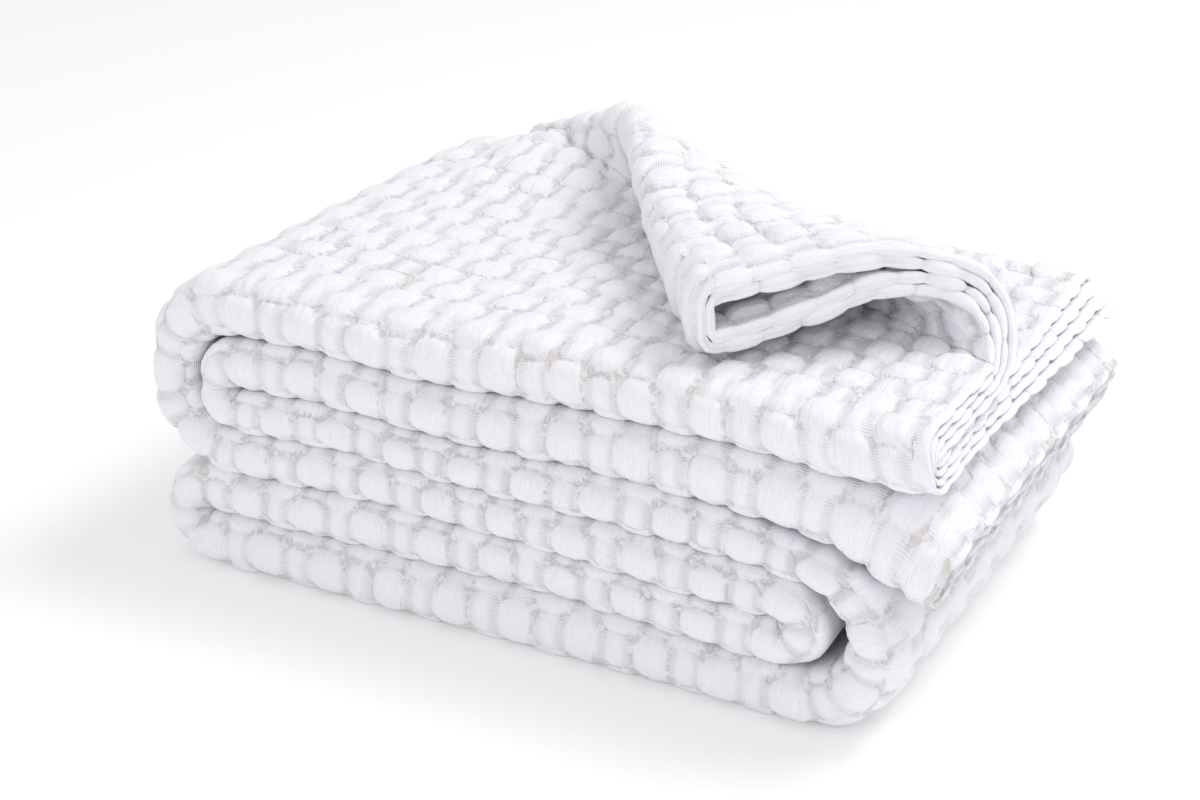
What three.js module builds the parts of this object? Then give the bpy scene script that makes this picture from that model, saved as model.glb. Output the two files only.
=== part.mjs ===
// A matelasse coverlet, folded up in a stack with one corner of its top turned over.
//
// One rectangle of cloth is folded lengthwise three times into a strip of eight plies, whose closed
// folds lie one in another along the front. The strip is then folded in half and in thirds, which
// gives six layers. On the top layer the upper four plies are turned back at the rear right corner.
// Millimetres, X to the right, Y to the back, Z up, origin under the middle of the whole stack.

import * as THREE from 'three';

const { degToRad } = THREE.MathUtils;

// Driving dimensions of the folded stack
const DEPTH = 272;
const CLOTH = 1.8;
const LEFT_END = -200;
const LOW_LEFT_END = -194;
const RIGHT_FOLD_END = 221;
const TOP_LAYER_END = 234;
const FOLD_GAP = 6;
const FOLD_EYE = 0.3;
const RUN_PLACES = [-140, -60, 60, 120];

// The six layers from the surface up, with the height that each takes in the pile
const layers = [
  { name: 'six', loft: 32 },
  { name: 'five', loft: 26 },
  { name: 'four', loft: 24 },
  { name: 'three', loft: 22 },
  { name: 'two', loft: 27 },
  { name: 'one', loft: 31 },
];

// Height of each layer's middle
let pileHeight = 0;
for (const layer of layers) {
  layer.level = pileHeight + layer.loft / 2;
  pileHeight += layer.loft;
}
const [six, five, four, three, two, one] = layers;

// The eight panels of the strip in the order in which the cloth runs through it. The rank is the
// place of the panel in its layer, in plies above the middle; heading is 1 where it runs to the back.
const panels = [
  { rank: -3.5, heading: -1 },
  { rank: 3.5, heading: 1 },
  { rank: 0.5, heading: -1 },
  { rank: -0.5, heading: 1 },
  { rank: -1.5, heading: -1 },
  { rank: 1.5, heading: 1 },
  { rank: 2.5, heading: -1 },
  { rank: -2.5, heading: 1 },
];
const OUTER_RANK = 3.5;
const BACK_RANK = 1.5;
const FRONT_FOLD_STEPS = 4;
const BACK_FOLD_STEPS = 3;
const HEM_SETBACK = 6;

// The turned corner. Seen from above, the upper plies leave the layer at a line from the foot, on
// the right-hand end, to the back edge; the line makes this angle with the stack's long side.
const TURN_FOOT = { x: TOP_LAYER_END, y: -46 };
const TURN_ANGLE = degToRad(26);
const TURN_LENGTH = 360;
const TURN_GRID = 15;
const UPPER_RANK = 2;
// The bends of the roll in order: how far the cloth runs and the angle reached at the end
const rollBends = [
  { run: 7, angle: 42 },
  { run: 47, angle: 150 },
  { run: 66, angle: 199 },
  { run: 120, angle: 180 },
];
// The roll widens towards the back, dips between its ends, and its plies loosen with the distance
const ROLL_WIDENING = 0.14;
const ROLL_DIP = 0.3;
const PLY_LOOSENING = 0.006;
// At the back edge the upper plies bulge up where the roll starts
const HUMP = { height: 15, from: -150, full: -104, falling: -78, to: 30, front: 20 };

// The layers under the top one sink towards their fold on the right
const SINK = 0.15;
const SINK_FROM = 60;
const SINK_TO = 215;

// Layer two swells towards its free end, where its upper side stays under layer one while its lower
// side sinks over the fold on the right. Each row is a place along it, from the left.
const swell = [
  { x: -60, bottom: 104, top: 131, lean: 0 },
  { x: 60, bottom: 104, top: 131, lean: 0 },
  { x: 105, bottom: 100.5, top: 131, lean: 0 },
  { x: 150, bottom: 95.5, top: 130.5, lean: 4 },
  { x: 186, bottom: 91, top: 129.5, lean: 9 },
  { x: 214, bottom: 79, top: 127.5, lean: 17 },
  { x: 240, bottom: 72, top: 106, lean: 24 },
];

// Slow unevenness of the pile: wave height or sway, its length and where it starts
const lifts = [
  { size: 1.0, length: 195, climb: 26, start: 0 },
  { size: 0.7, length: 120, climb: 90, start: -1.3 },
];
const sways = [
  { size: 2.2, length: 345, climb: 21, start: 0 },
  { size: 1.8, length: 2000, climb: 17, start: 0.6 },
];
const END_SKEW = 0.05;
const HEM_STAGGER = 0.25;
// Towards the back the lower plies of layer one end further in, the lowest the least
const LOWER_SKEW = 0.055;
const LOWER_STAGGER = 1.3;

const smooth = (value, low, high) => {
  const f = Math.min(1, Math.max(0, (value - low) / (high - low)));
  return f * f * (3 - 2 * f);
};

// The path of the strip, seen from the front
//
// A station is a place on the strip's middle line, with the direction of its upper side (the side of
// the outermost panel on layer one) and the loft there.
const stations = [];

function addStation(x, z, angle, loft, marks = {}) {
  stations.push({ x, z, nx: Math.sin(angle), nz: Math.cos(angle), loft, ...marks });
}

// A run along a layer between two folds; facing is 0 with its upper side up and PI with it down.
// The stations of all runs stand at the same places, so that neighbouring layers keep their gap.
function addRun(layer, facing, heading) {
  const places = heading > 0 ? RUN_PLACES : [...RUN_PLACES].reverse();
  for (const x of places) addStation(x, layer.level, facing, layer.loft);
}

// A half turn from one layer to another; side is -1 on the left and 1 on the right, and turn is the
// way in which the upper side swings. In a tight fold the plies lie closer.
function addFold(from, to, centreX, side, steps, facing, turn) {
  const centreZ = (from.level + to.level) / 2;
  const radius = (from.level - to.level) / 2;
  const room = (panels.length * (Math.abs(radius) - CLOTH / 2 - FOLD_EYE)) / OUTER_RANK;
  for (let i = 0; i <= steps; i += 1) {
    const angle = (Math.PI * i) / steps;
    const x = centreX + side * Math.abs(radius) * Math.sin(angle);
    const z = centreZ + radius * Math.cos(angle);
    const loft = from.loft + (to.loft - from.loft) * smooth(angle, 0, Math.PI);
    addStation(x, z, facing + turn * angle, Math.min(loft, room));
  }
}

// Where a fold has its centre when its outside reaches to end
const foldCentre = (end, side, upper, lower) =>
  end - side * ((upper.level - lower.level) / 2 + (upper.loft + lower.loft) / 4);

const outerLeft = foldCentre(LEFT_END, -1, one, four);
const innerLeft = outerLeft + FOLD_GAP / 2;
const lowLeft = foldCentre(LOW_LEFT_END, -1, five, six);
const outerRight = foldCentre(RIGHT_FOLD_END, 1, three, six);
const innerRight = outerRight - FOLD_GAP * 1.5;

const gridX = TURN_GRID / Math.sin(TURN_ANGLE);
const gridY = TURN_GRID / Math.cos(TURN_ANGLE);
const turnedRows = Math.floor((TOP_LAYER_END - outerLeft) / gridX);

for (let i = 0; i <= turnedRows; i += 1) {
  addStation(TOP_LAYER_END - i * gridX, one.level, 0, one.loft, { turned: true, stays: true });
}
addFold(one, four, outerLeft, -1, 7, 0, -1);
addRun(four, Math.PI, 1);
addFold(four, five, innerRight, 1, 5, Math.PI, 1);
addRun(five, 0, -1);
addFold(five, six, lowLeft, -1, 5, 0, -1);
addRun(six, Math.PI, 1);
addFold(six, three, outerRight, 1, 7, Math.PI, -1);
addRun(three, 0, -1);
addFold(three, two, innerLeft, -1, 5, 0, 1);
for (const { x, bottom, top, lean } of swell) {
  addStation(x, (top + bottom) / 2, Math.PI + degToRad(lean), top - bottom, { stays: true });
}

// The turned corner's own directions: along the line, and across it towards the corner
const along = { x: Math.cos(TURN_ANGLE), y: -Math.sin(TURN_ANGLE) };
const towards = { x: Math.sin(TURN_ANGLE), y: Math.cos(TURN_ANGLE) };

// How far a place on the flat upper plies lies past the line, and how far along it
function turnPlace(x, y) {
  const dx = x - TURN_FOOT.x;
  const dy = y - TURN_FOOT.y;
  return {
    distance: dx * towards.x + dy * towards.y,
    slide: dx * along.x + dy * along.y,
  };
}

// The roll, walked in steps of a millimetre: its reach, its rise and its angle
const rollWalk = [{ reach: 0, rise: 0, angle: 0 }];
for (const bend of rollBends) {
  const start = rollWalk[rollWalk.length - 1].angle;
  for (let i = 1; i <= bend.run; i += 1) {
    const last = rollWalk[rollWalk.length - 1];
    const angle = start + ((degToRad(bend.angle) - start) * i) / bend.run;
    const middle = (angle + last.angle) / 2;
    const reach = last.reach + Math.cos(middle);
    const rise = last.rise + Math.sin(middle);
    rollWalk.push({ reach, rise, angle });
  }
}

function rollAt(distance) {
  const step = Math.min(rollWalk.length - 2, Math.floor(distance));
  const f = distance - step;
  const from = rollWalk[step];
  const to = rollWalk[step + 1];
  const mix = (key) => from[key] + (to[key] - from[key]) * f;
  return { reach: mix('reach'), rise: mix('rise'), angle: mix('angle') };
}

// How far the hump lifts a place on the flat upper plies
function humpAt(x, y) {
  const rising = smooth(x, HUMP.from, HUMP.full);
  const falling = 1 - smooth(x, HUMP.falling, HUMP.to);
  return HUMP.height * rising * falling * smooth(y, HUMP.front, DEPTH / 2);
}

// Carries a point of the upper plies of layer one round the roll
function turnOver(point) {
  const { distance, slide } = turnPlace(point.x, point.y);
  const hump = humpAt(point.x, point.y);
  if (distance <= 0) return { ...point, z: point.z + hump };
  const back = Math.min(1, Math.max(0, -slide / TURN_LENGTH));
  const scale = 1 + ROLL_WIDENING * back * back - ROLL_DIP * 4 * back * (1 - back);
  const { reach, rise, angle } = rollAt(distance / scale);
  const middle = one.level + (UPPER_RANK * one.loft) / panels.length;
  const above = (point.z - middle) * (1 + PLY_LOOSENING * Math.min(100, distance));
  const out = reach * scale - above * Math.sin(angle);
  return {
    x: TURN_FOOT.x + along.x * slide + towards.x * out,
    y: TURN_FOOT.y + along.y * slide + towards.y * out,
    z: middle + rise * scale + above * Math.cos(angle) + hump,
  };
}

// One panel's columns at a station, from the front to the back
//
// Each column has its place across the stack (y), its height above the strip's middle (offset), the
// direction of the cloth's own face (faceY, faceUp) and v, its order along the cloth.
function panelPlaces(station, panel, front, back) {
  const places = [0];
  if (station.turned && panel.rank > 0) {
    const start = TURN_FOOT.y - 2 * gridY;
    for (let y = start; y < back - gridY * 0.4; y += gridY) {
      const { distance } = turnPlace(station.x, y);
      if (distance > -TURN_GRID * 1.1) places.push((y - front) / (back - front));
    }
  }
  places.push(1);
  return places;
}

// One cross-section of the strip at a station, from the first hem to the last
function sectionAt(station) {
  const pitch = station.loft / panels.length;
  const front = -DEPTH / 2 + OUTER_RANK * pitch + CLOTH / 2;
  const back = DEPTH / 2 - BACK_RANK * pitch - CLOTH / 2;
  const columns = [];
  panels.forEach((panel, index) => {
    const face = index % 2 === 0 ? -1 : 1;
    const { heading } = panel;
    const places = panelPlaces(station, panel, front, back);
    const ordered = heading > 0 ? places : places.reverse();
    for (const place of ordered) {
      const isHem = place === 1 && (index === 0 || index === panels.length - 1);
      columns.push({
        y: front + (back - front) * place - (isHem ? HEM_SETBACK : 0),
        offset: panel.rank * pitch,
        faceY: 0,
        faceUp: face,
        v: 2 * index + (heading > 0 ? place : 1 - place),
        heading,
        upper: panel.rank > 0,
      });
    }
    if (index === panels.length - 1) return;

    // The closed fold to the next panel, a half circle
    const next = panels[index + 1];
    const steps = heading < 0 ? FRONT_FOLD_STEPS : BACK_FOLD_STEPS;
    const centre = ((panel.rank + next.rank) / 2) * pitch;
    const radius = ((panel.rank - next.rank) / 2) * pitch;
    const outwards = face * Math.sign(radius);
    for (let i = 1; i < steps; i += 1) {
      const angle = (Math.PI * i) / steps;
      const offset = centre + radius * Math.cos(angle);
      columns.push({
        y: (heading < 0 ? front : back) + heading * Math.abs(radius) * Math.sin(angle),
        offset,
        faceY: outwards * heading * Math.sin(angle),
        faceUp: outwards * Math.sign(radius) * Math.cos(angle),
        v: 2 * index + 1 + i / steps,
        heading,
        upper: offset > 0,
      });
    }
  });
  return columns;
}

// The uneven settling of the pile: the sunk right side, the skewed end, waves and sway
function settle(point, stays) {
  const sink = stays ? 0 : SINK * smooth(point.x, SINK_FROM, SINK_TO);
  const hold = Math.min(1, point.z / 60);
  const frontness = smooth(-point.y, -40, 100);
  const skew = END_SKEW * (point.y + DEPTH / 2) * smooth(point.x, 0, RIGHT_FOLD_END);
  const sum = (waves) => waves.reduce(
    (total, { size, length, climb, start }) =>
      total + size * Math.sin((2 * Math.PI * point.x) / length + point.z / climb + start),
    0,
  );
  return new THREE.Vector3(
    point.x - skew,
    point.y + sum(sways) * frontness * hold,
    point.z * (1 - sink) + sum(lifts) * hold,
  );
}

// A point on one face of the cloth; side is 1 on its own face and -1 on the other
function facePoint(station, column, side) {
  const offset = column.offset + (side * column.faceUp * CLOTH) / 2;
  const backness = smooth(column.y, -DEPTH * 0.4, DEPTH / 2);
  const slant = column.upper ? HEM_STAGGER : HEM_STAGGER + LOWER_STAGGER * backness;
  const inset = column.upper ? 0 : LOWER_SKEW * (column.y + DEPTH / 2);
  const stagger = station.turned
    ? (slant * offset + inset) * smooth(station.x, 100, TOP_LAYER_END)
    : 0;
  const flat = {
    x: station.x + station.nx * offset - stagger,
    y: column.y + (side * column.faceY * CLOTH) / 2,
    z: station.z + station.nz * offset,
  };
  const turned = station.turned && column.upper ? turnOver(flat) : flat;
  return settle(turned, station.stays);
}

// Joins two neighbouring rows of columns into triangles, panel by panel and fold by fold
//
// Each is walked from the front to the back or on round its fold, whichever way the cloth runs, so
// that neighbouring plies are cut alike, and never cross where they are warped. Where both rows have
// the same v, the square between them is cut along the direction of the turn.
function zipRows(rowA, rowB, addTriangle) {
  for (let segment = 0; segment < 2 * panels.length - 1; segment += 1) {
    const forward = panels[Math.floor(segment / 2)].heading > 0;
    const [a, b] = [rowA, rowB].map((row) => {
      const part = row.filter(({ v }) => v >= segment && v <= segment + 1);
      return forward ? part : part.reverse();
    });
    const walked = (column) => Math.abs(column.v - (forward ? segment : segment + 1));
    const add = (p, q, r) => (forward ? addTriangle(p, q, r) : addTriangle(p, r, q));
    let i = 0;
    let j = 0;
    while (i < a.length - 1 || j < b.length - 1) {
      const nextA = i < a.length - 1 ? walked(a[i + 1]) : Infinity;
      const nextB = j < b.length - 1 ? walked(b[j + 1]) : Infinity;
      if (nextB < nextA + 1e-9) {
        add(a[i].id, b[j + 1].id, b[j].id);
        j += 1;
      } else {
        add(a[i].id, a[i + 1].id, b[j].id);
        i += 1;
      }
    }
  }
}

function coverletGeometry() {
  const faceSide = [];
  const backSide = [];
  const rows = stations.map((station) => sectionAt(station).map((column) => {
    faceSide.push(facePoint(station, column, 1));
    backSide.push(facePoint(station, column, -1));
    return { v: column.v, id: faceSide.length - 1 };
  }));
  const shift = faceSide.length;
  const indices = [];
  const addBoth = (a, b, c) => {
    indices.push(a, b, c);
    indices.push(a + shift, c + shift, b + shift);
  };
  for (let r = 0; r < rows.length - 1; r += 1) zipRows(rows[r], rows[r + 1], addBoth);

  // The four hemmed edges close the sheet
  const lastRow = rows[rows.length - 1];
  const edges = [
    rows[0],
    [...lastRow].reverse(),
    rows.map((row) => row[0]).reverse(),
    rows.map((row) => row[row.length - 1]),
  ];
  for (const edge of edges) {
    for (let i = 0; i < edge.length - 1; i += 1) {
      const a = edge[i].id;
      const b = edge[i + 1].id;
      indices.push(a, a + shift, b);
      indices.push(b, a + shift, b + shift);
    }
  }

  const positions = [...faceSide, ...backSide].flatMap((point) => point.toArray());
  const geometry = new THREE.BufferGeometry();
  geometry.setAttribute('position', new THREE.Float32BufferAttribute(positions, 3));
  geometry.setIndex(indices);
  geometry.computeBoundingBox();
  const { min, max } = geometry.boundingBox;
  return geometry.translate(-(min.x + max.x) / 2, -(min.y + max.y) / 2, -min.z);
}

const cotton = new THREE.MeshStandardMaterial({ color: 0xf3f2f3, roughness: 0.95, metalness: 0 });

const coverlet = new THREE.Mesh(coverletGeometry(), cotton);
coverlet.name = 'coverlet';

const part = new THREE.Group();
part.add(coverlet);

export default part;
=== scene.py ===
# %% [markdown]
# # A folded matelasse coverlet
# A coverlet is one big rectangle of cotton, woven so that it puffs up into pebbles. Here it lies
# folded into a stack, with one corner of its top layer turned over. The plain solid from the CAD
# gives the folds and the size. This script lays the real cloth on them, with its pebbles, its
# gauzy stretches between them, its hems and its thread.

import bpy
import numpy as np
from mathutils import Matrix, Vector


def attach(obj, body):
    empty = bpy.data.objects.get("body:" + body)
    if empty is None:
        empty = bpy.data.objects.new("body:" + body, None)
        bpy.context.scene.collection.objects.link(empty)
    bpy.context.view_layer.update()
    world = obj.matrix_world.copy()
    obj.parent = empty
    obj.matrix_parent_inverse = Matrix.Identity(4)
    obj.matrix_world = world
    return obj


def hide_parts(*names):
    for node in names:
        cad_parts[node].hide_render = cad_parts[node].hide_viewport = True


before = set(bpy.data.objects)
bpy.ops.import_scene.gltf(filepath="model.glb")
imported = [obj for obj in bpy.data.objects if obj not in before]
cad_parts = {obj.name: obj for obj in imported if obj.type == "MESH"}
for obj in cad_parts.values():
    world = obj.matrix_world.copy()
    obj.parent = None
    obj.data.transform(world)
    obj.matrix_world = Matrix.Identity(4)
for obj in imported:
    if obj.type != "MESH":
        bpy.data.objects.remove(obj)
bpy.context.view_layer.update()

# %% [markdown]
# ## How the cloth is folded
# The cloth is folded lengthwise into a strip of eight panels, and the strip is folded into six
# layers. A cloth simulation could fold it, but the folds would land where they like. The folds
# are therefore worked out as a folder would: a table of the layers, a table of the panels, and
# the path of the strip from end to end. The sizes in this part are in millimetres.

# %% Sizes of the folded stack
DEPTH = 272
LEFT_END = -200
LOW_LEFT_END = -194
RIGHT_FOLD_END = 221
TOP_LAYER_END = 234
FOLD_GAP = 6
HEM_SETBACK = 6
FOLD_CLEARANCE = 1

# Each layer's middle height and its thickness
layers = {
    "six": {"level": 16, "loft": 32},
    "five": {"level": 45, "loft": 26},
    "four": {"level": 70, "loft": 24},
    "three": {"level": 93, "loft": 22},
    "two": {"level": 117.5, "loft": 27},
    "one": {"level": 146.5, "loft": 31},
}

# Rank is the panel's place in its layer in plies above the middle, heading is 1 to the back
panel_ranks = np.array([-3.5, 3.5, 0.5, -0.5, -1.5, 1.5, 2.5, -2.5])
panel_headings = np.array([-1, 1, -1, 1, -1, 1, -1, 1])
OUTER_RANK = 3.5
BACK_RANK = 1.5
PANELS = len(panel_ranks)
LAST_V = 2 * PANELS - 1

# Layer two at its free end: place, lower side, upper side and lean of its cross-section
swell = np.array([
    [-60, 104, 131, 0],
    [60, 104, 131, 0],
    [105, 100.5, 131, 0],
    [150, 95.5, 130.5, 4],
    [186, 91, 129.5, 9],
    [214, 79, 127.5, 17],
    [240, 72, 106, 24],
])


def smooth(value, low, high):
    """Eases from 0 at low to 1 at high."""
    f = np.clip((value - low) / (high - low), 0, 1)
    return f * f * (3 - 2 * f)


def fold_centre(end, side, upper, lower):
    """Where a fold has its centre when its outside reaches to end."""
    reach = (upper["level"] - lower["level"]) / 2 + (upper["loft"] + lower["loft"]) / 4
    return end - side * reach


outer_left = fold_centre(LEFT_END, -1, layers["one"], layers["four"])
inner_left = outer_left + FOLD_GAP / 2
low_left = fold_centre(LOW_LEFT_END, -1, layers["five"], layers["six"])
outer_right = fold_centre(RIGHT_FOLD_END, 1, layers["three"], layers["six"])
inner_right = outer_right - FOLD_GAP * 1.5
print(f"folds turn about x = {outer_left:.0f}, {low_left:.0f} and {outer_right:.0f} mm")

# %% The path of the strip
FOLD_EYE = 1.2
LOFT_GROWTH = 0.07

path_x, path_z, path_facing, path_loft, path_stays, lengths = [], [], [], [], [], []
fold_rooms = {}


def add_places(name, x, z, facing, loft, stays):
    """Adds places along the strip's middle line, and the name of this length of it."""
    count = len(x)
    path_x.extend(x)
    path_z.extend(np.broadcast_to(z, count))
    path_facing.extend(np.broadcast_to(facing, count))
    path_loft.extend(np.broadcast_to(loft, count))
    path_stays.extend([stays] * count)
    lengths.append([name, len(path_x) - 1])


def add_run(name, layer, from_x, to_x, facing, stays=0.0):
    """A straight run along a layer."""
    x = np.linspace(from_x, to_x, 120)
    add_places(name, x, layers[layer]["level"], facing, layers[layer]["loft"], stays)


def add_fold(name, upper, lower, centre_x, side, facing, turn):
    """A half turn from one layer to the next."""
    a, b = layers[upper], layers[lower]
    angle = np.linspace(0, np.pi, 90)
    radius = (a["level"] - b["level"]) / 2
    x = centre_x + side * abs(radius) * np.sin(angle)
    z = (a["level"] + b["level"]) / 2 + radius * np.cos(angle)
    loft = a["loft"] + (b["loft"] - a["loft"]) * smooth(angle, 0, np.pi)
    add_places(name, x[1:-1], z[1:-1], facing + turn * angle[1:-1], loft[1:-1], 0.0)
    fold_rooms[name] = PANELS * (abs(radius) - FOLD_EYE) / OUTER_RANK


add_run("layer one", "one", TOP_LAYER_END, outer_left, 0, stays=1.0)
add_fold("outer left fold", "one", "four", outer_left, -1, 0, -1)
add_run("layer four", "four", outer_left, inner_right, -np.pi)
add_fold("inner right fold", "four", "five", inner_right, 1, -np.pi, 1)
add_run("layer five", "five", inner_right, low_left, 0)
add_fold("low left fold", "five", "six", low_left, -1, 0, -1)
add_run("layer six", "six", low_left, outer_right, -np.pi)
add_fold("outer right fold", "six", "three", outer_right, 1, -np.pi, -1)
add_run("layer three", "three", outer_right, inner_left, -2 * np.pi)
add_fold("inner left fold", "three", "two", inner_left, -1, -2 * np.pi, 1)

swell_x = np.linspace(inner_left, swell[-1, 0], 160)
bottom, top, lean = (
    np.interp(swell_x, np.r_[inner_left, swell[:, 0]], np.r_[swell[0, k], swell[:, k]])
    for k in (1, 2, 3)
)
add_places("layer two", swell_x, (top + bottom) / 2, -np.pi + np.radians(lean), top - bottom, 1.0)

path_x, path_z = np.array(path_x, float), np.array(path_z, float)
path_run = np.r_[0, np.cumsum(np.hypot(np.diff(path_x), np.diff(path_z)))]
STRIP_LENGTH = path_run[-1]
length_ends = {name: path_run[last] for name, last in lengths}

# In a tight fold the plies lie closer, and they spread again along the runs beside it
path_loft = np.array(path_loft, float)
run_start = 0.0
for name, run_end in length_ends.items():
    if name in fold_rooms:
        beyond = np.maximum(0, np.maximum(run_start - path_run, path_run - run_end))
        path_loft = np.minimum(path_loft, fold_rooms[name] + LOFT_GROWTH * beyond)
    run_start = run_end
print(f"the strip is {STRIP_LENGTH:.0f} mm long, in {len(lengths)} lengths")

# %% [markdown]
# ## From flat cloth to folded cloth
# Two numbers say where a point is on the cloth: run, along the strip in millimetres, and v, which
# counts panels and folds across it: 0 to 1 is the first panel, 1 to 2 the first closed fold, and
# so on. The next functions turn these into a point of the stack. Working the folds out by such a
# mapping keeps all eight plies whole and a little apart, which a row of boxes would not.


# %% The strip's cross-section
def at_run(values, run):
    """A value of the strip's path at each run."""
    return np.interp(run, path_run, values)


def cross_section(v, pitch):
    """Where v lies across the stack: y, height above the strip's middle, and the face's normal."""
    segment = np.minimum(v.astype(int), LAST_V - 1)
    part = v - segment
    panel = segment // 2
    rank, heading = panel_ranks[panel], panel_headings[panel]
    face = np.where(panel % 2 == 0, -1, 1)
    front = -DEPTH / 2 + OUTER_RANK * pitch + FOLD_CLEARANCE
    back = DEPTH / 2 - BACK_RANK * pitch - FOLD_CLEARANCE

    place = np.where(heading > 0, part, 1 - part)
    is_hem = (panel == 0) | (panel == PANELS - 1)
    panel_y = front + (back - front - HEM_SETBACK * is_hem) * place

    next_rank = panel_ranks[np.minimum(panel + 1, PANELS - 1)]
    angle = np.pi * part
    radius = (rank - next_rank) / 2 * pitch
    outwards = face * np.sign(radius)
    fold_y = np.where(heading < 0, front, back) + heading * np.abs(radius) * np.sin(angle)
    fold_offset = (rank + next_rank) / 2 * pitch + radius * np.cos(angle)

    in_fold = segment % 2 == 1
    y = np.where(in_fold, fold_y, panel_y)
    offset = np.where(in_fold, fold_offset, rank * pitch)
    face_y = np.where(in_fold, outwards * heading * np.sin(angle), 0.0)
    face_up = np.where(in_fold, outwards * np.sign(radius) * np.cos(angle), face)
    return y, offset, face_y, face_up


# %% [markdown]
# ## The turned corner
# On the top layer the upper four plies are lifted at the rear right corner and turned back in a
# loose roll. Seen from above they leave the layer at a slanting line. The roll is a row of bends:
# how far the cloth runs and the angle it has reached there. It could be bent with an armature or
# a lattice, but a row of bends keeps the cloth's length true.

# %% Sizes of the roll
TURN_FOOT_Y = -46
TURN_ANGLE = np.radians(26)
TURN_LENGTH = 360
UPPER_RANK = 2
ROLL_WIDENING = 0.14
ROLL_DIP = 0.3
PLY_LOOSENING = 0.006
HUMP = {"height": 15, "from": -150, "full": -104, "falling": -78, "to": 30, "front": 20}
roll_bends = [(7, 42), (47, 150), (66, 199), (120, 180)]
PLY_GAP = 13
GAP_OPENS = {"distance": (40, 105), "x": (60, 200), "y": (10, 120)}
HEM_STAGGER = 0.25
LOWER_STAGGER = 1.3
LOWER_SKEW = 0.055
STAGGER_FROM = 100

along = np.array([np.cos(TURN_ANGLE), -np.sin(TURN_ANGLE)])
towards = np.array([np.sin(TURN_ANGLE), np.cos(TURN_ANGLE)])

roll_step = np.arange(sum(run for run, _ in roll_bends) + 1.0)
bend_ends = np.r_[0, np.cumsum([run for run, _ in roll_bends])]
roll_angle = np.radians(np.interp(roll_step, bend_ends, [0] + [a for _, a in roll_bends]))
middle_angle = (roll_angle[1:] + roll_angle[:-1]) / 2
roll_reach = np.r_[0, np.cumsum(np.cos(middle_angle))]
roll_rise = np.r_[0, np.cumsum(np.sin(middle_angle))]
print(f"the roll stands {roll_rise.max():.0f} mm high before it is widened")


def past_the_line(x, y):
    """How far a place lies past the line where the plies leave the layer, and how far along it."""
    dx, dy = x - TOP_LAYER_END, y - TURN_FOOT_Y
    return dx * towards[0] + dy * towards[1], dx * along[0] + dy * along[1]


def looseness(distance):
    """How much further apart the plies lie than in the flat layer."""
    return 1 + PLY_LOOSENING * np.clip(distance, 0, 100)


def turn_over(x, y, z, pair):
    """Carries points round the roll; pair is 1 on its outer pair of plies and -1 on its inner."""
    distance, slide = past_the_line(x, y)
    hump = (
        HUMP["height"]
        * smooth(x, HUMP["from"], HUMP["full"])
        * (1 - smooth(x, HUMP["falling"], HUMP["to"]))
        * smooth(y, HUMP["front"], DEPTH / 2)
    )
    back = np.clip(-slide / TURN_LENGTH, 0, 1)
    scale = 1 + ROLL_WIDENING * back * back - ROLL_DIP * 4 * back * (1 - back)
    walked = np.maximum(distance, 0) / scale
    reach, rise, angle = (
        np.interp(walked, roll_step, values) for values in (roll_reach, roll_rise, roll_angle)
    )
    middle = layers["one"]["level"] + UPPER_RANK * layers["one"]["loft"] / PANELS
    above = (z - middle) * looseness(distance)
    # At the turned corner the two pairs of plies stand apart
    gap = PLY_GAP * smooth(distance, *GAP_OPENS["distance"])
    gap = gap * smooth(x, *GAP_OPENS["x"]) * smooth(y, *GAP_OPENS["y"])
    above = above + gap / 2 * pair
    out = np.where(distance > 0, reach * scale, distance) - above * np.sin(angle)
    turned_x = TOP_LAYER_END + along[0] * slide + towards[0] * out
    turned_y = TURN_FOOT_Y + along[1] * slide + towards[1] * out
    turned_z = middle + rise * scale + above * np.cos(angle) + hump + gap / 2
    return turned_x, turned_y, turned_z


# %% The settling of the pile
# Each wave has its height or sway, its length, its climb from layer to layer and its start
lifts = [(1.0, 195, 26, 0), (0.7, 120, 90, -1.3)]
sways = [(2.2, 345, 21, 0), (1.8, 2000, 17, 0.6)]
SINK, SINK_FROM, SINK_TO = 0.15, 60, 215
SWAY_FROM, SWAY_TO = -40, 100
HOLD_HEIGHT = 60
END_SKEW = 0.05
CENTRING = np.array([-23.7, 2.1, -1.0])


def waves(table, x, z):
    """The sum of a table's waves at a place of the pile."""
    return sum(
        size * np.sin(2 * np.pi * x / length + z / climb + start)
        for size, length, climb, start in table
    )


def settle(x, y, z, stays):
    """Lets the pile sink and sway, and centres it on the CAD part's origin."""
    sink = (1 - stays) * SINK * smooth(x, SINK_FROM, SINK_TO)
    hold = np.clip(z / HOLD_HEIGHT, 0, 1)
    frontness = smooth(-y, SWAY_FROM, SWAY_TO)
    skew = END_SKEW * (y + DEPTH / 2) * smooth(x, 0, RIGHT_FOLD_END)
    moved = np.stack([
        x - skew,
        y + waves(sways, x, z) * frontness * hold,
        z * (1 - sink) + waves(lifts, x, z) * hold,
    ], axis=-1)
    return moved + CENTRING


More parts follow.
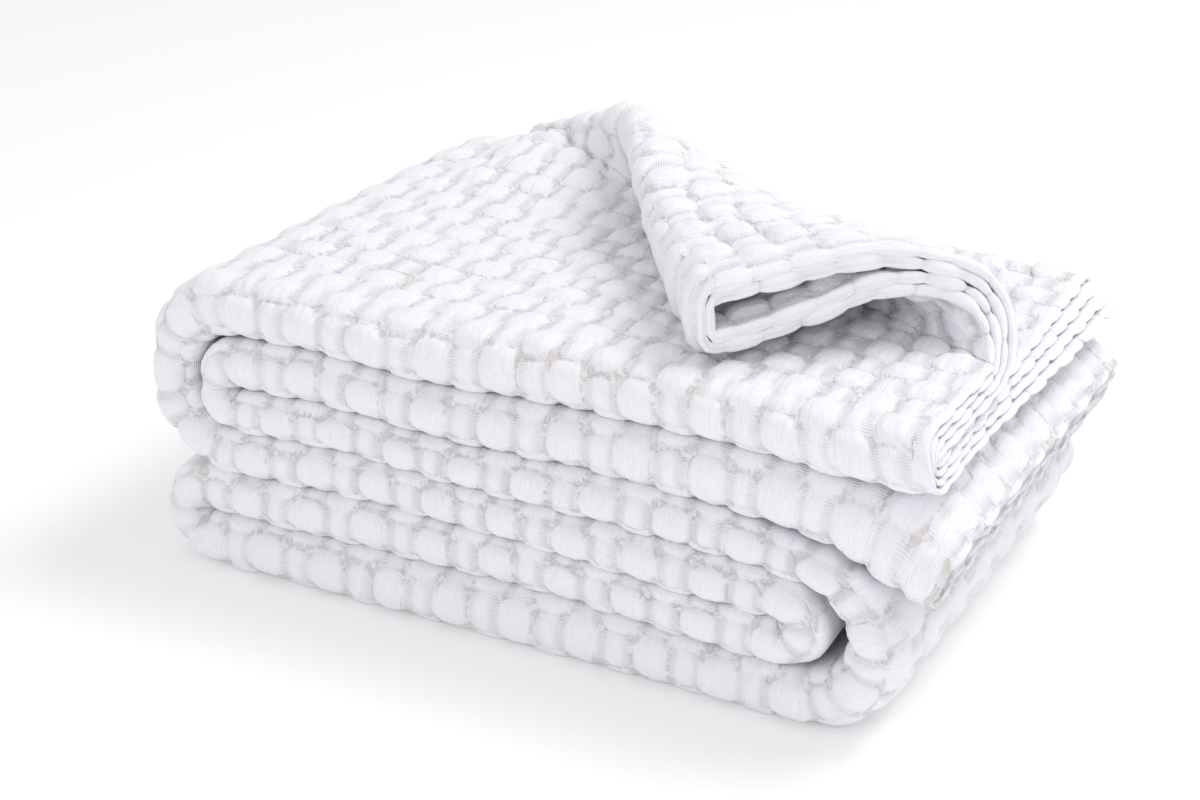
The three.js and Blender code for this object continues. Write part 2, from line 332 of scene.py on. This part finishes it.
def place_on_stack(run, v, side, half_thickness):
    """The point at run and v on the face side (1) or the wrong side (-1) of the cloth."""
    pitch = at_run(path_loft, run) / PANELS
    y, offset, face_y, face_up = cross_section(v, pitch)
    facing = at_run(path_facing, run)
    in_layer_one = run < length_ends["layer one"]
    upper = in_layer_one & (offset > 0)
    pair = np.clip(2 * (offset / pitch - UPPER_RANK), -1, 1)
    offset = offset + side * face_up * half_thickness
    x = at_run(path_x, run) + np.sin(facing) * offset
    backness = smooth(y, -DEPTH * 0.4, DEPTH / 2)
    slant = np.where(upper, HEM_STAGGER, HEM_STAGGER + LOWER_STAGGER * backness)
    inset = np.where(upper, 0, LOWER_SKEW * (y + DEPTH / 2))
    stagger = (slant * offset + inset) * smooth(x, STAGGER_FROM, TOP_LAYER_END)
    x = x - np.where(in_layer_one, stagger, 0)
    y = y + side * face_y * half_thickness
    z = at_run(path_z, run) + np.cos(facing) * offset
    turned = turn_over(x, y, z, pair)
    x, y, z = (np.where(upper, new, old) for new, old in zip(turned, (x, y, z)))
    return settle(x, y, z, at_run(path_stays, run))


# %% [markdown]
# ## The pebbles
# Matelasse is two cloths woven together. Where only the face cloth shrinks less than the back,
# it puffs up into soft pebbles, and where the two are stitched the seam lies low. Here big
# pebbles alternate with gauzy cells that hold a small puff, like the squares of a chessboard. An
# image could paint this, but real relief gives the edges and shadows, so each pebble is a dome
# of its own size, set a little off the lattice.

# %% A pebble's height
PEBBLE = 18.5
BIG_HALF = (9.6, 10.4)
GAUZE_HALF = (9.0, 8.7)
BIG_RISE = 3.7
GAUZE_RISE = 2.5
SQUARENESS = 3.2
DOME_FULLNESS, DOME_ROUNDING = 2.6, 0.55
LADDER_FROM, LADDER_TO, LADDER_DROP = 0.28, 0.55, 0.45

# How far pebbles differ in size and height, as a share, and in place, in mm
SIZE_CHANGE, RISE_CHANGE, PLACE_CHANGE = 0.08, 0.15, 1.0

# %% The flat cloth
MEAN_PITCH = 3.4

panel_run = DEPTH - (OUTER_RANK + BACK_RANK) * MEAN_PITCH - 2 * FOLD_CLEARANCE
segment_lengths = []
for index in range(LAST_V):
    panel = index // 2
    if index % 2 == 0:
        hem = HEM_SETBACK if panel in (0, PANELS - 1) else 0
        segment_lengths.append(panel_run - hem)
    else:
        span = abs(panel_ranks[panel] - panel_ranks[panel + 1]) * MEAN_PITCH
        segment_lengths.append(np.pi * span / 2)
across_at = np.r_[0, np.cumsum(segment_lengths)]
CLOTH_WIDTH = across_at[-1]
FRONT_FOLD_MIDDLE = (across_at[1] + across_at[2]) / 2
print(f"the cloth is {CLOTH_WIDTH:.0f} x {STRIP_LENGTH:.0f} mm when flat")


# %% The field of pebbles
def scatter(i, j, salt):
    """A number from -1 to 1 that is always the same for one pebble."""
    mixed = np.sin(i * 12.9898 + j * 78.233 + salt * 37.719) * 43758.5453
    return 2 * (mixed - np.floor(mixed)) - 1


def pebble_field(run, across):
    """Relief in mm, distance from the nearest cell's edge, and how gauzy the cloth is."""
    along_cells = run / PEBBLE
    across_cells = (across - FRONT_FOLD_MIDDLE) / PEBBLE
    height = np.zeros_like(run)
    nearest = np.full_like(run, 9.0)
    gauze = np.zeros_like(run)
    for step_i in (-1, 0, 1):
        for step_j in (-1, 0, 1):
            i = np.round(along_cells) + step_i
            j = np.round(across_cells) + step_j
            big = (i + j) % 2 == 0
            half_i = np.where(big, BIG_HALF[0], GAUZE_HALF[0])
            half_j = np.where(big, BIG_HALF[1], GAUZE_HALF[1])
            half_i = half_i * (1 + SIZE_CHANGE * scatter(i, j, 1))
            half_j = half_j * (1 + SIZE_CHANGE * scatter(i, j, 2))
            centre_i = i * PEBBLE + PLACE_CHANGE * scatter(i, j, 3)
            centre_j = j * PEBBLE + PLACE_CHANGE * scatter(i, j, 4)
            du = np.abs(run - centre_i) / half_i
            dv = np.abs(across - FRONT_FOLD_MIDDLE - centre_j) / half_j
            reach = (du**SQUARENESS + dv**SQUARENESS) ** (1 / SQUARENESS)
            rise = np.where(big, BIG_RISE, GAUZE_RISE) * (1 + RISE_CHANGE * scatter(i, j, 5))
            # A gauzy cell is low along its two ladders and puffs up a little between them
            ladder = np.where(big, 0, smooth(du, LADDER_FROM, LADDER_TO))
            dome = np.clip(1 - reach**DOME_FULLNESS, 0, 1) ** DOME_ROUNDING
            dome = dome * (1 - LADDER_DROP * ladder)
            gauze = np.where(rise * dome > height, ladder, gauze)
            height = np.maximum(height, rise * dome)
            edge_distance = (reach - 1) * np.minimum(half_i, half_j)
            nearest = np.minimum(nearest, edge_distance)
    return height, nearest, gauze


# %% [markdown]
# ## The mesh of the cloth
# A fine mesh over all of the cloth would have millions of faces, most of them hidden inside the
# stack. The cloth is therefore cut into lengths and bands, each with its own grid: fine where it
# shows, coarse inside. Neighbouring grids are joined by a zip of triangles, so that the whole is
# one closed sheet with a face side, a wrong side and hems.

# %% Where the mesh is fine
HEM_LENGTH = 12.0
END_OF_LAYER_TWO = 80.0

# Cell sizes along and across, in mm, where the cloth is hidden
COARSE_RUN, COARSE_ACROSS, COARSE_FOLD = 22.0, 85.0, 6.5
BEND_ROWS = 12

# Cell sizes where it shows: on top, on what the turned corner leaves bare, and along the hems
FINE_CELL, UNDER_CELL, SHADED_CELL = 2.45, 3.0, 5.0
HALF_HIDDEN = [8.0, 11.0]
HEM_CELL_RUN, FIRST_HEM_CELL, LAST_HEM_CELL = 2.0, 3.6, 5.5

# The front folds' band, as places in v, and the cells of the outer panel where the strip turns
FRONT_BAND = (0.93, 2.05)
FRONT_CELL, LOW_FRONT_CELL = 2.6, 2.9
outer_panel_cells = {"outer left fold": 3.2, "outer right fold": 3.6, "low left fold": 3.6}

cuts = [
    ("first hem", HEM_LENGTH),
    ("one, end", 50.0),
    ("one, right", 130.0),
    ("one, middle", 250.0),
]
for name, end in length_ends.items():
    cuts.append((name, end if name != "layer two" else STRIP_LENGTH - END_OF_LAYER_TWO))
cuts += [("end of layer two", STRIP_LENGTH - HEM_LENGTH), ("last hem", STRIP_LENGTH)]
cut_starts = [0.0] + [end for _, end in cuts]
strip_lengths = {name: (start, end) for (name, end), start in zip(cuts, cut_starts)}

# How far panels one, two and three show on each part of layer one, as places in v
shown = {
    "one, end": (2.75, 4.7, 6.3),
    "one, right": (2.75, 4.7, 6.3),
    "one, middle": (3, 4.48, 6.52),
    "layer one": (3, 4.25, 6.75),
}
print("lengths of the strip:", ", ".join(strip_lengths))


# %% The grid of each band
def spaced(low, high, cell, first=True):
    """Evenly spaced places from low to high, about cell apart."""
    count = max(1, int(np.ceil((high - low) / cell)))
    return np.linspace(low, high, count + 1)[0 if first else 1:]


def across_cell(v_low, v_high, cell):
    """A cell's size in v for a size in mm."""
    size = np.interp([v_low, v_high], np.arange(LAST_V + 1), across_at)
    return cell * (v_high - v_low) / max(size[1] - size[0], 1e-6)


def bands_for(name, side):
    """The bands of one length of the strip: from v, to v, cell along and cell across."""
    low, high = strip_lengths[name]
    coarse = (high - low) / BEND_ROWS if "fold" in name else COARSE_RUN
    bands = []
    for segment in range(LAST_V):
        length = segment_lengths[segment]
        cell = min(COARSE_FOLD, length / 2) if segment % 2 else COARSE_ACROSS
        bands.append([segment, segment + 1, coarse, cell])
    if name in ("first hem", "last hem"):
        largest = FIRST_HEM_CELL if name == "first hem" else LAST_HEM_CELL
        return [[*band[:2], HEM_CELL_RUN, min(band[3], largest)] for band in bands]
    if name in shown:
        for segment in (1, 2, 3, 4, 9, 10, 11, 12):
            bands[segment][2] = HALF_HIDDEN[0]
            bands[segment][3] = min(bands[segment][3], HALF_HIDDEN[1])
    if side < 0:
        return bands
    front_low, front_high = FRONT_BAND
    bands[0][1] = front_low
    bands[2][0] = front_high
    if name == "end of layer two":
        bands[0][2:] = bands[2][2:] = [3.4, 3.4]
    near = name in shown or name == "outer left fold"
    front_cell = FRONT_CELL if near else LOW_FRONT_CELL
    bands[1] = [front_low, front_high, front_cell, front_cell]
    bands[3][2:] = [2.8, 2.8] if near else [3.4, 3.0]
    if name in outer_panel_cells:
        bands[2][2:] = [outer_panel_cells[name]] * 2
    if name in shown:
        one, two, three = shown[name]
        fine, under = [FINE_CELL] * 2, [UNDER_CELL] * 2
        if name == "one, end":
            # One can look in between the two pairs of plies of the turned corner
            inner = [[10, 10.5], [10.5, 11], [11, 12], [12, 12.5], [12.5, 13]]
            cells = [HALF_HIDDEN, under, under, under, HALF_HIDDEN]
            bands[10:13] = [place + cell for place, cell in zip(inner, cells)]
        bands[6:7] = [[6, three, *HALF_HIDDEN], [three, 7, *under]]
        bands[4:5] = [[4, two, *fine], [two, 5, *HALF_HIDDEN]]
        bands[2:3] = [[front_high, one, *fine]]
        if one < 3:
            bands.insert(3, [one, 3, SHADED_CELL, SHADED_CELL])
    return bands


# %% Grids and zips
mesh_quads, mesh_tris = [], []
mesh_run, mesh_v, mesh_side = [], [], []


def add_rows(runs, vs, side):
    """Adds the points of a grid, a row for each run and a column for each v."""
    start = len(mesh_run)
    grid_run, grid_v = np.meshgrid(runs, vs, indexing="ij")
    mesh_run.extend(grid_run.ravel())
    mesh_v.extend(grid_v.ravel())
    mesh_side.extend([side] * grid_run.size)
    return start + np.arange(grid_run.size).reshape(grid_run.shape)


def add_grid(ids, side):
    """Adds the quads between a grid's points."""
    corners = [ids[:-1, :-1], ids[:-1, 1:], ids[1:, 1:], ids[1:, :-1]]
    quads = np.stack([c.ravel() for c in corners], axis=1)
    mesh_quads.append(quads if side > 0 else quads[:, ::-1])


def add_zip(first, first_at, second, second_at, flip):
    """Joins two rows of points, each in the order of its place, with triangles."""
    i = j = 0
    while i < len(first) - 1 or j < len(second) - 1:
        next_i = first_at[i + 1] if i < len(first) - 1 else np.inf
        next_j = second_at[j + 1] if j < len(second) - 1 else np.inf
        if next_i <= next_j:
            tri = (first[i], first[i + 1], second[j])
            i += 1
        else:
            tri = (first[i], second[j + 1], second[j])
            j += 1
        mesh_tris.append(tri[::-1] if flip else tri)


# %% The two sides of the cloth
hem_rows = np.array([0, 0.5, 1.4, 2.6, 4.6, 7.8, HEM_LENGTH])
ZIP_WIDTH = 2.4


def build_side(side):
    """Makes one side of the cloth and gives back its four edges."""
    last_row, left_edge, right_edge = None, [], []
    edge_rows = []
    for name, (low, high) in strip_lengths.items():
        row_ids, row_vs, previous = [], [], None
        for v_low, v_high, cell_run, cell_across in bands_for(name, side):
            vs = spaced(v_low, v_high, across_cell(v_low, v_high, cell_across), previous is None)
            if name == "first hem":
                runs = hem_rows
            elif name == "last hem":
                runs = (STRIP_LENGTH - hem_rows[::-1])[1:]
            else:
                runs = np.r_[low + ZIP_WIDTH, spaced(low + ZIP_WIDTH, high, cell_run, False)]
            ids = add_rows(runs, vs, side)
            if len(vs) > 1:
                add_grid(ids, side)
            if previous is None:
                left_edge.extend(zip(ids[:, 0], runs))
            else:
                add_zip(previous[0], previous[1], ids[:, 0], runs, side > 0)
            previous = (ids[:, -1], runs)
            row_ids.append(ids)
            row_vs.append(vs)
        right_edge.extend(zip(*previous))
        first_row = np.concatenate([ids[0] for ids in row_ids])
        all_vs = np.concatenate(row_vs)
        if last_row is None:
            edge_rows.append((first_row, all_vs))
        else:
            add_zip(last_row[0], last_row[1], first_row, all_vs, side < 0)
        last_row = (np.concatenate([ids[-1] for ids in row_ids]), all_vs)
    edge_rows.append(last_row)
    columns = [tuple(np.array(part) for part in zip(*edge)) for edge in (left_edge, right_edge)]
    return edge_rows + columns


face_edges = build_side(1)
wrong_edges = build_side(-1)
for index, flip in enumerate((True, False, False, True)):
    add_zip(*face_edges[index], *wrong_edges[index], flip)

quads = np.concatenate(mesh_quads)
tris = np.array(mesh_tris)
mesh_run, mesh_v, mesh_side = np.array(mesh_run), np.array(mesh_v), np.array(mesh_side)
print(f"the cloth has {len(mesh_run)} points and {2 * len(quads) + len(tris)} triangles")

# %% [markdown]
# ## Thickness, relief and hems
# Each ply has only so much room between its neighbours, so the pebbles stand out where the cloth
# faces outwards and are pressed nearly flat inside the stack. Towards a hem the cloth thins to a
# rounded edge, which is puffed beside each pebble and drawn in between two of them. Moving every
# point by hand or with a displacement picture would lose the fit with the folds.

# %% The relief and the room at each point
mesh_across = np.interp(mesh_v, np.arange(LAST_V + 1), across_at)
relief, edge_distance, gauze = pebble_field(mesh_run, mesh_across)
pitch = at_run(path_loft, mesh_run) / PANELS
mesh_y, mesh_offset, _, _ = cross_section(mesh_v, pitch)
in_upper_plies = (mesh_run < length_ends["layer one"]) & (mesh_offset > 0)
distance, _ = past_the_line(at_run(path_x, mesh_run), mesh_y)
room = pitch * np.where(in_upper_plies, looseness(distance), 1)
print(f"a ply has {room.min():.1f} to {room.max():.1f} mm of room")


# %% Where the relief shows
def between(low, high):
    """True for the points with v between two places."""
    return (mesh_v > low) & (mesh_v < high)


def rounded(low, high):
    """From 0 at both folds' ends to 1 in the middle of one closed fold."""
    return np.where(between(low, high), np.sin(np.pi * (mesh_v - low)), 0)


def within(before, name):
    """True for the points between the ends of two neighbouring lengths of the strip."""
    return (mesh_run > length_ends[before]) & (mesh_run < length_ends[name])


in_open = mesh_run < length_ends["outer left fold"]
in_open |= within("layer five", "low left fold") | within("layer six", "outer right fold")
open_side = np.where(in_open & between(1.5, 3.5), 1.0, 0)
turned_side = np.where(between(3, 7.01) & (mesh_run < 400), 0.9, 0)
end_side = smooth(mesh_run, STRIP_LENGTH - 70, STRIP_LENGTH - 50) * (mesh_v < 3) * 0.9
gap_side = np.where(between(10.4, 12.6) & (mesh_run < 60), 0.6, 0)
exposed = np.maximum.reduce(
    [open_side, turned_side, end_side, gap_side, rounded(1, 2), rounded(3, 4)]
)
exposed = exposed * (mesh_side > 0)
print(f"the relief shows on {np.mean(exposed > 0):.0%} of the points")


# %% Crumples
def crumples(run, across):
    """Small uneven waves of the cloth, from about -1 to 1."""
    total = np.zeros_like(run)
    for number in range(7):
        angle = 0.4 + number * 1.37
        length = 6.5 + 1.9 * number
        place = run * np.cos(angle) + across * np.sin(angle)
        total += np.sin(2 * np.pi * place / length + 2.1 * number)
    return total / 3.5


# %% Thickness and hems
HALF_THICKNESS = 0.4
HEM_ROUNDING = 2.4
CRUMPLE = 0.32
HIDDEN_SHARE = 0.35
SEAM_DEPTH = 1.3
HEM_THINNEST, HEM_PUFF = 0.23, 0.22
HEM_BLEND = (5, 13)
HEM_PULL = 2.0
THINNEST = 0.25
ABOVE_FLOOR = 0.15

share = HIDDEN_SHARE + (1 - HIDDEN_SHARE) * exposed
raised = relief - SEAM_DEPTH + CRUMPLE * crumples(mesh_run, mesh_across)
flat_half = room * HALF_THICKNESS + raised * share
hem_half = room * (HEM_THINNEST + HEM_PUFF * relief / BIG_RISE)
to_end = np.minimum(mesh_run, STRIP_LENGTH - mesh_run)
to_side = np.minimum(mesh_across, CLOTH_WIDTH - mesh_across)
to_hem = np.minimum(to_end, to_side)
hem_near = 1 - smooth(to_hem, *HEM_BLEND)
half = flat_half + (hem_half - flat_half) * hem_near
round_off = np.clip(1 - to_hem / HEM_ROUNDING, 0, 1)
half = np.maximum(half, THINNEST) * np.sqrt(np.clip(1 - round_off**2, 0, 1))
# Between two pebbles the hem is drawn in, so its edge is beaded
pull = HEM_PULL * (1 - relief / BIG_RISE) * np.clip(1 - to_end / HEM_LENGTH, 0, 1)
drawn_run = mesh_run + np.where(mesh_run < HEM_LENGTH, pull, -pull)
points = place_on_stack(drawn_run, mesh_v, mesh_side, half)
points[:, 2] = np.maximum(points[:, 2], ABOVE_FLOOR)
points /= 1000
print("cloth box:", points.min(axis=0).round(4), points.max(axis=0).round(4))

# %% The coverlet as an object
mesh = bpy.data.meshes.new("coverlet_cloth")
faces = [tuple(q) for q in quads.tolist()] + [tuple(t) for t in tris.tolist()]
mesh.from_pydata(points.tolist(), [], faces)
mesh.validate()
mesh.polygons.foreach_set("use_smooth", [True] * len(mesh.polygons))
for name, values in (("pebble_edge", edge_distance), ("gauze", gauze)):
    layer = mesh.attributes.new(name, "FLOAT", "POINT")
    layer.data.foreach_set("value", values)
flat_layer = mesh.attributes.new("flat_place", "FLOAT_VECTOR", "POINT")
flat_places = np.stack([mesh_run, mesh_across, mesh_side], axis=1) / 1000
flat_layer.data.foreach_set("vector", flat_places.ravel())
mesh.update()
coverlet = bpy.data.objects.new("coverlet_cloth", mesh)
bpy.context.collection.objects.link(coverlet)
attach(coverlet, "root")
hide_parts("coverlet")
print("coverlet:", len(mesh.vertices), "points,", len(mesh.polygons), "faces")

# %% [markdown]
# ## The cotton
# The yarn is white, soft and matt. On a pebble the threads run close together and show as faint
# lines; in a gauzy cell they are pulled apart into small rungs, and the gaps between them are
# painted darker as shade. Along the seams and where pebbles meet, painted beige shade darkens the
# hollows. The relief gave each point its distance from the nearest pebble's edge, so the material
# can follow every pebble without a picture.

# %% Helpers for the material
cotton = bpy.data.materials.new("cotton")
cotton.use_nodes = True
nodes, links = cotton.node_tree.nodes, cotton.node_tree.links
shader = nodes["Principled BSDF"]


def connect(socket, value):
    """Links a socket to another, or sets it to a number or colour."""
    if isinstance(value, bpy.types.NodeSocket):
        links.new(value, socket)
    else:
        socket.default_value = value


def attribute(name, output):
    """A value that the mesh carries at each point."""
    node = nodes.new("ShaderNodeAttribute")
    node.attribute_name = name
    return node.outputs[output]


def calculate(operation, *values):
    """One step of arithmetic on sockets or numbers."""
    node = nodes.new("ShaderNodeMath")
    node.operation = operation
    for socket, value in zip(node.inputs, values):
        connect(socket, value)
    return node.outputs[0]


def ease(value, low, high, to_low=0.0, to_high=1.0):
    """Eases from to_low at low to to_high at high."""
    node = nodes.new("ShaderNodeMapRange")
    node.interpolation_type = "SMOOTHSTEP"
    for name, number in (
        ("Value", value), ("From Min", low), ("From Max", high),
        ("To Min", to_low), ("To Max", to_high),
    ):
        connect(node.inputs[name], number)
    return node.outputs["Result"]


def blend_colours(share, first, second):
    """The first colour where share is 0, and the second where it is 1."""
    node = nodes.new("ShaderNodeMix")
    node.data_type = "RGBA"
    connect(node.inputs["Factor"], share)
    connect(node.inputs["A"], first)
    connect(node.inputs["B"], second)
    return node.outputs["Result"]


def threads(place, spacing, wander):
    """Waves from 0 between threads to 1 on them, spacing millimetres apart."""
    turned = calculate("MULTIPLY", place, 2 * np.pi / spacing)
    wave = calculate("SINE", calculate("ADD", turned, wander))
    return calculate("MULTIPLY_ADD", wave, 0.5, 0.5)


def cloudiness(scale, detail=2.0, stretch=(1, 1, 1)):
    """Soft noise that lies on the flat cloth, and may be drawn out along its threads."""
    place = nodes.new("ShaderNodeVectorMath")
    place.operation = "MULTIPLY"
    connect(place.inputs[0], attribute("flat_place", "Vector"))
    connect(place.inputs[1], stretch)
    node = nodes.new("ShaderNodeTexNoise")
    connect(node.inputs["Vector"], place.outputs[0])
    node.inputs["Scale"].default_value = scale
    node.inputs["Detail"].default_value = detail
    return node.outputs["Fac"]


# %% Threads, seams and puckers
RUNG_SPACING, LINE_SPACING = 1.15, 0.9

from_edge = attribute("pebble_edge", "Fac")
in_gauze = attribute("gauze", "Fac")
solid = calculate("SUBTRACT", 1.0, in_gauze)
flat_parts = nodes.new("ShaderNodeSeparateXYZ")
connect(flat_parts.inputs[0], attribute("flat_place", "Vector"))
run_mm = calculate("MULTIPLY", flat_parts.outputs["X"], 1000.0)
across_mm = calculate("MULTIPLY", flat_parts.outputs["Y"], 1000.0)

wander = calculate("MULTIPLY", cloudiness(120.0), 9.0)
rungs = threads(across_mm, RUNG_SPACING, calculate("MULTIPLY", wander, 0.35))
lines = threads(run_mm, LINE_SPACING, wander)
streaks = cloudiness(900.0, 3.0, (1, 0.16, 1))
puckers = cloudiness(260.0, 3.0, (1, 0.4, 1))
patchy = ease(cloudiness(330.0), 0.42, 0.62)

# Distances from a pebble's edge, in mm: a seam is narrow, and four pebbles meet in a corner; seam
# and corner set where shade is painted
seam_shade_share = ease(from_edge, -1.0, 0.15)
corner_shade_share = ease(from_edge, 0.5, 1.5)
groove = ease(from_edge, -1.5, 0.3)
print(f"threads lie {RUNG_SPACING} mm apart in the gauze and {LINE_SPACING} mm on a pebble")

# %% The cotton's colour, with painted shade in the gauze's gaps, the seams and the corners
WHITE = (0.872, 0.875, 0.925, 1)
# The cream colour paints shade in the gaps between the gauze's rungs, and is also a random streak
# tone
CREAM_SHADE_AND_STREAK = (0.74, 0.70, 0.67, 1)
# The beige colour paints shade in the seams and in the corners between pebbles
SHADE_BEIGE = (0.58, 0.49, 0.42, 1)
# The gaps between the gauze's rungs are painted half way to cream, as shade in those hollows
gap_shade_share = calculate("MULTIPLY", calculate("SUBTRACT", 1.0, rungs), in_gauze)
colour = blend_colours(calculate("MULTIPLY", gap_shade_share, 0.5), WHITE, CREAM_SHADE_AND_STREAK)
streak_strength = calculate("MULTIPLY", ease(streaks, 0.5, 0.72), 0.10)
colour = blend_colours(streak_strength, colour, CREAM_SHADE_AND_STREAK)
# Seams and the corners where pebbles meet are painted beige as shade in their hollows, with a
# random patchy strength along the seams
painted_shade_share = calculate("MULTIPLY", seam_shade_share, calculate("MULTIPLY_ADD", patchy, 0.42, 0.06))
painted_shade_share = calculate("MAXIMUM", painted_shade_share, calculate("MULTIPLY", corner_shade_share, 0.5))
colour = blend_colours(painted_shade_share, colour, SHADE_BEIGE)
connect(shader.inputs["Base Color"], colour)

# %% The cotton's fine relief and finish
# How high each kind of thread or pucker stands, in mm
heights = [
    (calculate("MULTIPLY", rungs, in_gauze), 0.35),
    (calculate("MULTIPLY", lines, solid), 0.08),
    (streaks, 0.45),
    (puckers, 1.6),
]
thread_height = 0.0
for kind, height in heights:
    thread_height = calculate("MULTIPLY_ADD", kind, height, thread_height)
groove_depth = calculate("MULTIPLY_ADD", patchy, -0.5, -0.45)
thread_height = calculate("MULTIPLY_ADD", groove, groove_depth, thread_height)
bump = nodes.new("ShaderNodeBump")
bump.inputs["Distance"].default_value = 0.001
bump.inputs["Strength"].default_value = 1.0
connect(bump.inputs["Height"], thread_height)
connect(shader.inputs["Normal"], bump.outputs["Normal"])
shader.inputs["Roughness"].default_value = 0.92
shader.inputs["Sheen Weight"].default_value = 0.25
shader.inputs["Sheen Roughness"].default_value = 0.6
mesh.materials.append(cotton)
print("the cotton has", len(nodes), "nodes")

# %% [markdown]
# ## Floor, light and camera
# The photograph is taken on white paper in a bright, soft studio: light comes from all round, with
# a large lamp from above on the right and a weaker one in front. One plane is enough for the
# paper. It glows very faintly, as paper does that runs on up behind the cloth.

# %% The floor
floor_mesh = bpy.data.meshes.new("floor")
floor_mesh.from_pydata([(-4, -4, 0), (4, -4, 0), (4, 4, 0), (-4, 4, 0)], [], [(0, 1, 2, 3)])
floor = bpy.data.objects.new("floor", floor_mesh)
bpy.context.collection.objects.link(floor)
paper = bpy.data.materials.new("paper")
paper.use_nodes = True
paper_shader = paper.node_tree.nodes["Principled BSDF"]
paper_shader.inputs["Base Color"].default_value = (0.93, 0.93, 0.93, 1)
paper_shader.inputs["Roughness"].default_value = 0.95
paper_shader.inputs["Emission Color"].default_value = (1, 1, 1, 1)
paper_shader.inputs["Emission Strength"].default_value = 0.1
floor_mesh.materials.append(paper)

# %% The light
world = bpy.context.scene.world or bpy.data.worlds.new("studio")
bpy.context.scene.world = world
world.use_nodes = True
world.node_tree.nodes["Background"].inputs["Color"].default_value = (1, 1, 1, 1)
world.node_tree.nodes["Background"].inputs["Strength"].default_value = 0.72


def turn_to(thing, aim):
    """Turns a lamp or camera, which looks along its own -Z, towards a point."""
    direction = Vector(aim) - Vector(thing.location)
    thing.rotation_euler = direction.to_track_quat("-Z", "Y").to_euler()


def add_lamp(name, place, size, power, aim=(0, 0, 0.08)):
    """A soft rectangular lamp at place that shines on aim."""
    data = bpy.data.lights.new(name, "AREA")
    data.shape = "SQUARE"
    data.size = size
    data.energy = power
    lamp = bpy.data.objects.new(name, data)
    bpy.context.collection.objects.link(lamp)
    lamp.location = place
    turn_to(lamp, aim)
    return lamp


add_lamp("key lamp", (0.8, 0.6, 1.7), 0.9, 15)
add_lamp("front lamp", (0.3, -1.9, 1.1), 1.0, 6.5)

# %% [markdown]
# ## The camera
# The camera looks down on the front folds from the right, as the photographer did. Its place is
# given by an angle round the stack, an angle above the floor and a distance, because these are
# easier to match than three coordinates.

# %% The camera
target = np.array([-0.007, 0, 0.078]) + CENTRING / 1000
azimuth, elevation, distance = np.radians(29.2), np.radians(23.5), 1.361
camera_data = bpy.data.cameras.new("camera")
camera_data.sensor_width = 36
camera_data.lens = 77.9
camera = bpy.data.objects.new("camera", camera_data)
bpy.context.collection.objects.link(camera)
camera.location = target + distance * np.array([
    np.sin(azimuth) * np.cos(elevation),
    -np.cos(azimuth) * np.cos(elevation),
    np.sin(elevation),
])
turn_to(camera, target)
bpy.context.scene.camera = camera
bpy.context.scene.view_settings.view_transform = "Standard"
print("camera at", [round(c, 3) for c in camera.location])
